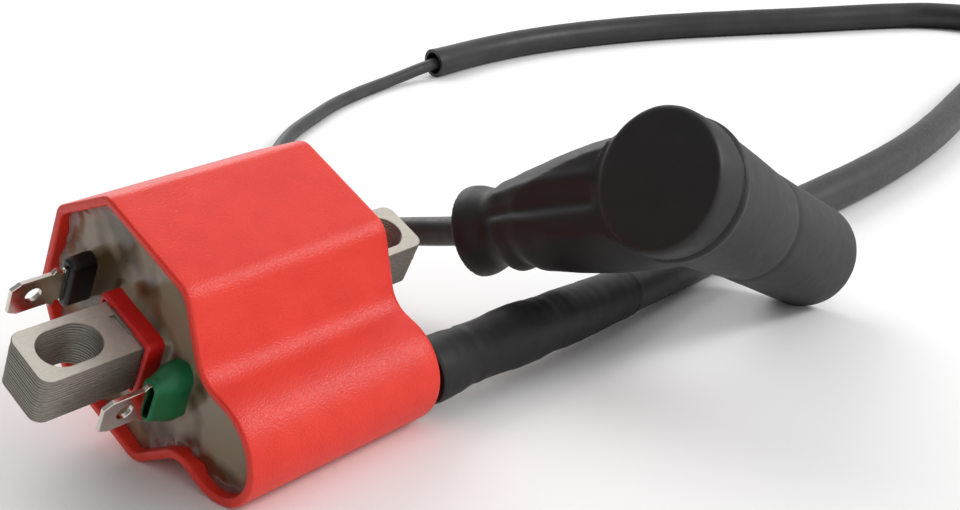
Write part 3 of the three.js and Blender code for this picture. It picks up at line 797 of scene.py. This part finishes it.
LEAD_PATH = smooth_route([in_part(COIL, (LEAD_START, OUTLET_Y, 0)), *LEAD_ROUTE,
                          *[in_part(CAP, (x, 0, 0)) for x in (39.7, 30, 15)]], STEP)
CAP_CENTRE = in_part(CAP, (0, 0, 0))
WALL_INDEX = at(LEAD_PATH, lambda p: (COIL.inverted() @ Vector(p * MM)).x > HOUSING_LENGTH)
TUBE_END_INDEX = at(LEAD_PATH, lambda p: p[1] > 140 and p[0] < TUBE_END_X)
SLEEVE_START_INDEX = at(LEAD_PATH, lambda p: p[1] < SLEEVE_START_Y and p[0] < 60 and p[1] > 0)
SLEEVE_END_INDEX = at(LEAD_PATH, lambda p: p[0] < 90 and np.linalg.norm(p - CAP_CENTRE) < 30)


def lead():
    profile = [(0, LEAD_RADIUS - 0.3)]
    profile += [(i, LEAD_RADIUS + 0.03 * wobble((i * STEP, 0, 0), 14)) for i in range(len(LEAD_PATH))]
    profile += [(len(LEAD_PATH) - 1, LEAD_RADIUS - 0.3)]
    obj = raw("lead", *loft(sweep(LEAD_PATH, profile)))
    return finished(obj, PART, LEAD, "coil", ["ht_lead"], 70)


def outlet_boot():
    """The moulded boot over the outlet: a collar at the wall, a waist, a bulge and a thin mouth."""
    radii = [(0, 5.3), (0.5, 5.5), (2.5, 5.45), (6, 5.3), (8, 5.1), (9, 4.92), (10, 5.12), (13, 5.05),
             (16, 5.1), (19, 5.3), (22, 5.48), (25, 5.35), (29, 5.15), (33, 5.2), (38, 5.12), (44, 4.95),
             (50, 4.74), (52, 4.62)]
    first = WALL_INDEX + 1
    last = at(LEAD_PATH, lambda p: np.linalg.norm(p - LEAD_PATH[first]) > BOOT_LENGTH)
    path = smooth_route(LEAD_PATH[first:last + 1:4], BOOT_STEP)
    travel = np.arange(len(path)) * BOOT_STEP
    outer = np.interp(travel, *zip(*radii))
    outer = outer + [0.05 * wobble((t, 0, 0), 1.7) for t in travel]
    mouth = len(path) - 1
    profile = list(enumerate(outer)) + [(mouth, outer[-1] - 0.3), (mouth, TUBE_RADIUS + 0.1)]
    profile += [(i, TUBE_RADIUS + 0.06) for i in range(mouth - 3, -1, -4)]
    profile += [(0, 4.6), (0, 5.1)]
    obj = raw("boot", *loft(sweep(path, profile), ring=True))
    displace(obj, lambda p: 0.16 * wobble(p, 4.5, 1.3) + 0.05 * wobble(p, 1.6, 6.1))
    return finished(obj, PART, RUBBER, "coil", ["outlet_boot"], 60)


def tube():
    """The loose tube over the lead, from inside the boot to its open, slightly swollen end."""
    path = LEAD_PATH[WALL_INDEX + 2:TUBE_END_INDEX]
    count = len(path)
    travel = np.arange(count) * STEP
    outer = TUBE_RADIUS + 0.25 * np.exp(-(travel[-1] - travel) / 3.5)
    outer = outer + [0.045 * wobble((t, 0, 0), 9) for t in travel]
    path = path + np.maximum(outer - TUBE_RADIUS, 0)[:, None] * [0, 0, 1]
    bore = TUBE_BORE + 0.25 * np.exp(-(travel[-1] - travel) / 3.5)
    end = count - 1
    profile = list(enumerate(outer)) + [(end, outer[-1] - 0.35), (end, bore[-1] + 0.25)]
    profile += [(i, bore[i]) for i in range(end, -1, -1)]
    profile += [(0, TUBE_RADIUS - 0.2)]
    obj = raw("tube", *loft(sweep(path, profile), ring=True))
    finished(obj, PART, TUBE, "coil", ["protective_tube"], 60)


def lead_sleeve():
    """The soft sleeve over the last stretch of the lead, where it enters the cap."""
    path = LEAD_PATH[SLEEVE_START_INDEX:SLEEVE_END_INDEX]
    count = len(path)
    outer = [SLEEVE_RADIUS + 0.06 * wobble((i * STEP, 3, 0), 5) for i in range(count)]
    profile = [(0, SLEEVE_RADIUS - 0.3)] + list(enumerate(outer)) + [(count - 1, SLEEVE_RADIUS - 0.3)]
    profile += [(i, LEAD_RADIUS + 0.06) for i in range(count - 1, -1, -1)]
    obj = raw("lead_end_sleeve", *loft(sweep(path, profile), ring=True))
    return finished(obj, PART, SLEEVE, "coil", ["lead_sleeve"], 60)


# The plug cap.

# The barrel's and the leg's outlines, as (radius, height) pairs.
BARREL = [
    (8.6, -50.1), (9.2, -50), (9.75, -49.6), (10.05, -48.8), (10.15, -47), (10.22, -40), (10.28, -30),
    (10.34, -24), (10.3, -23), (10.1, -22), (10.42, -20.5), (11.1, -12), (11.75, -1), (11.9, 1.4),
    (12.15, 1.8), (12.4, 2.3), (12.42, 3), (12.2, 3.35), (11.75, 3.5), (11.62, 3.7), (11.8, 3.95),
    (12.1, 4.15), (11.7, 6.6), (11.3, 8.9), (11.15, 9.45), (10.9, 9.85), (10.5, 10.02), (9.6, 10.04),
]
LEG = [
    (11.6, 0), (11.8, 4), (11.8, 8), (11.4, 14), (10.9, 18), (10.3, 22), (9.6, 25.5), (9, 29), (8.4, 31.5),
    (8, 34), (7.3, 35.6), (7.1, 36.2), (7.1, 37.3), (7.5, 38.4), (8.1, 40), (8.3, 41.2), (8.3, 42),
    (8.15, 42.5), (7.8, 42.7), (6.6, 42.7),
]
LEG_TOP = 8.9
LEG_SIDE = 10.3


def radius_at(profile, height):
    return float(np.interp(height, [h for _, h in profile], [r for r, _ in profile]))


def soft_limit(value, limit):
    """The value, held back to a fifth of what it passes the limit by."""
    return np.where(value > limit, limit + (value - limit) * 0.2, value)


def cap_body():
    """The moulded elbow: barrel and leg blended into one skin, then bored out."""
    obj = raw("cap", *lathe(BARREL, 120))
    leg = [(radius_at(LEG, x), x) for x in np.linspace(0, LEG_LENGTH, 90)]
    points, faces = lathe(leg, 120, "X")
    points[:, 2] = soft_limit(points[:, 2], LEG_TOP)
    points[:, 1] = -soft_limit(-points[:, 1], LEG_SIDE)
    combine(obj, raw("leg", points, faces), "UNION")
    remesh = obj.modifiers.new("skin", "REMESH")
    remesh.mode = "VOXEL"
    remesh.voxel_size = SKIN_VOXEL
    apply_modifiers(obj)
    blend_root(obj)
    widen_head(obj)
    displace(obj, cap_relief)
    depth = BARREL_END + SOCKET_DEPTH
    socket = [(SOCKET_RADIUS + 0.9, BARREL_END - 1), (SOCKET_RADIUS + 0.9, BARREL_END),
              (SOCKET_RADIUS + 0.15, BARREL_END + 1.3), (SOCKET_RADIUS, BARREL_END + 2.5),
              (SOCKET_RADIUS, depth), (7.5, depth + 0.01), (7.5, -3)]
    chamber = [(4.9, -5), (4.9, 5.6)]
    lead_bore = [(3.1, 0), (3.1, 39.4), (5.1, 40.6), (5.4, 41.2), (5.6, 44)]
    tools = [lathe(socket, 64), lathe(chamber, 48), lathe(lead_bore, 48, "X")]
    for points, faces in tools:
        combine(obj, raw("bore", points, faces), "DIFFERENCE")
    return finished(obj, CAP, RUBBER, "plug_cap", ["cap_body"], 50)


def blend_root(obj):
    """Smooths the skin where the leg meets the barrel."""
    def near(co):
        barrel = math.hypot(co.x, co.y) - radius_at(BARREL, co.z)
        leg = math.hypot(co.y, co.z) - radius_at(LEG, max(co.x, 0))
        return co.x > 0 and abs(barrel) < 2.6 and abs(leg) < 2.6 and co.z < 1.4
    work = bmesh.new()
    work.from_mesh(obj.data)
    root = [v for v in work.verts if near(v.co)]
    every_axis = {"use_axis_x": True, "use_axis_y": True, "use_axis_z": True}
    for _ in range(24):
        bmesh.ops.smooth_vert(work, verts=root, factor=0.5, **every_axis)
    bmesh.ops.smooth_vert(work, verts=work.verts, factor=0.3, **every_axis)
    work.to_mesh(obj.data)
    work.free()
    obj.data.update()


def hump(value, centre, width):
    """A smooth hump of height one."""
    return math.exp(-((value - centre) / width) ** 2)


def stretch(value, start, end, fade):
    """One between start and end, falling smoothly to nought outside."""
    rise = (value - start) / fade, (end - value) / fade
    return math.prod(0.5 + 0.5 * math.tanh(2 * r) for r in rise)


def widen_head(obj):
    """Draws the flared head out across the leg, most at its face."""
    for vertex in obj.data.vertices:
        share = min(max((vertex.co.z - 3.6) / 6, 0), 1)
        if math.hypot(vertex.co.x, vertex.co.y) < 12.6:
            vertex.co.y *= 1 + 0.1 * share * share * (3 - 2 * share)


def cap_relief(point):
    """Flutes and finger dents of the leg, and the slight unevenness of moulded rubber, as a depth."""
    depth = 0.05 * wobble(point, 6, 2.2) + 0.02 * wobble(point, 1.8, 5.1)
    if point.x < 11 or abs(point.z) > 13:
        return depth
    turn = math.degrees(math.atan2(point.z, point.y)) % 360
    length = stretch(point.x, 12.5, 35, 2)
    for middle, deep in ((90 - (34 - point.x) * 0.4, 0.85), (270, 0.7)):
        depth += deep * length * (hump(turn, middle, 8) + 0.5 * hump(turn, middle + 12, 10))
        depth -= 0.3 * length * hump(turn, middle + 27, 7)
    under = hump((turn + 180) % 360, 170, 45)
    depth += under * (0.75 * hump(point.x, 30.6, 1.3) - 0.35 * hump(point.x, 33.6, 1.2))
    return depth


def keep_nodes():
    """CAD nodes whose shape stands, with their materials."""
    finishes = {
        "primary_winding": COPPER, "secondary_bobbin": CREAM, "ht_contact_pin": BRASS,
        "cap_insulator": PHENOLIC, "cap_resistor": CERAMIC, "cap_spring": SPRING,
        "cap_lead_screw": BRASS, "plug_clip": SPRING,
    }
    finishes.update({f"secondary_winding_{i}": COPPER for i in range(1, 5)})
    for name, material in finishes.items():
        mesh = frame["nodes"][name].data
        mesh.materials.clear()
        mesh.materials.append(material)


# Studio.

def floor():
    """A pale sheet at Z = 0, facing up."""
    line = np.linspace(-FLOOR_HALF, FLOOR_HALF, FLOOR_LINES)
    points = [(x, y, 0) for x in line for y in line]
    corners = [(i * FLOOR_LINES + j, (i + 1) * FLOOR_LINES + j)
               for i in range(FLOOR_LINES - 1) for j in range(FLOOR_LINES - 1)]
    faces = [(a, b, b + 1, a + 1) for a, b in corners]
    obj = raw("floor", points, faces)
    if obj.data.polygons[0].normal.z < 0:
        obj.data.flip_normals()
    paper = Finish("paper", linear(248, 248, 248), roughness=0.9)
    obj.data.materials.append(paper.rough(paper.spread(paper.noise(400), 0.85, 0.95)).material)


def area_light(name, place, towards, size, power, colour=(1, 1, 1)):
    data = bpy.data.lights.new(name, "AREA")
    data.size = size
    data.energy = power
    data.color = colour
    obj = bpy.data.objects.new(name, data)
    aim = (Vector(towards) - Vector(place)).to_track_quat("-Z", "Y")
    obj.matrix_world = Matrix.Translation(Vector(place)) @ aim.to_matrix().to_4x4()
    bpy.context.scene.collection.objects.link(obj)


def lights():
    """White surroundings that are darker towards one side, with one soft panel beside and one behind."""
    world = bpy.data.worlds.new("world")
    world.use_nodes = True
    nodes, links = world.node_tree.nodes, world.node_tree.links
    nodes["Background"].inputs["Color"].default_value = (1, 1, 1, 1)
    facing = nodes.new("ShaderNodeVectorMath")
    facing.operation = "DOT_PRODUCT"
    facing.inputs[1].default_value = Vector(DARK_TOWARDS).normalized()
    links.new(nodes.new("ShaderNodeTexCoord").outputs["Generated"], facing.inputs[0])
    strength = nodes.new("ShaderNodeMapRange")
    strength.inputs["From Min"].default_value = 0.2
    strength.inputs["From Max"].default_value = 0.85
    strength.inputs["To Min"].default_value = OPEN_SIDE
    strength.inputs["To Max"].default_value = DARK_SIDE
    links.new(facing.outputs["Value"], strength.inputs["Value"])
    links.new(strength.outputs["Result"], nodes["Background"].inputs["Strength"])
    bpy.context.scene.world = world
    bpy.context.scene.view_settings.view_transform = "Standard"
    area_light("key", (0.53, -0.55, 0.5), (0.02, -0.01, 0.02), 0.26, 3.2)
    area_light("back", (0.4, 0.7, 0.6), (0.1, 0.05, 0), 0.6, 4)


# Every piece of the part, the cords first.

lead_piece = lead()
boot_piece = outlet_boot()
tube()
sleeve_piece = lead_sleeve()
cap_piece = cap_body()
housing()
laminations()
primary_bobbin()
potting()
blade("primary_blade", "primary_terminal", PRIMARY_Y)
blade("ground_blade", "ground_terminal", GROUND_Y)
sleeve("black_blade_sleeve", "black_sleeve", PRIMARY_Y, BLACK_VINYL, 0.12,
       [(-1.9, 2.9, 9.1, 1), (-1.5, 3.2, 9.5, 1.12), (-0.2, 3.3, 9.5, 1.12), (1.2, 3.3, 9.5, 1.12),
        (2.6, 3.2, 9.4, 1.12), (4.4, 3.2, 9.4, 1.12)])
sleeve("green_blade_sleeve", "green_sleeve", GROUND_Y, GREEN_VINYL, 0.32,
       [(-3.5, 3.1, 7.8, 0.6), (-3.2, 3.4, 8.2, 0.7), (-2.7, 3.5, 8.5, 0.7), (-2, 3.8, 9.2, 0.6),
        (-0.6, 4.5, 10.3, 0.6), (0.8, 5.1, 11.1, 0.6), (2, 5, 11, 0.6), (3.2, 4.8, 10.7, 0.6),
        (4.6, 4.8, 10.7, 0.6)])
keep_nodes()
floor()
lights()
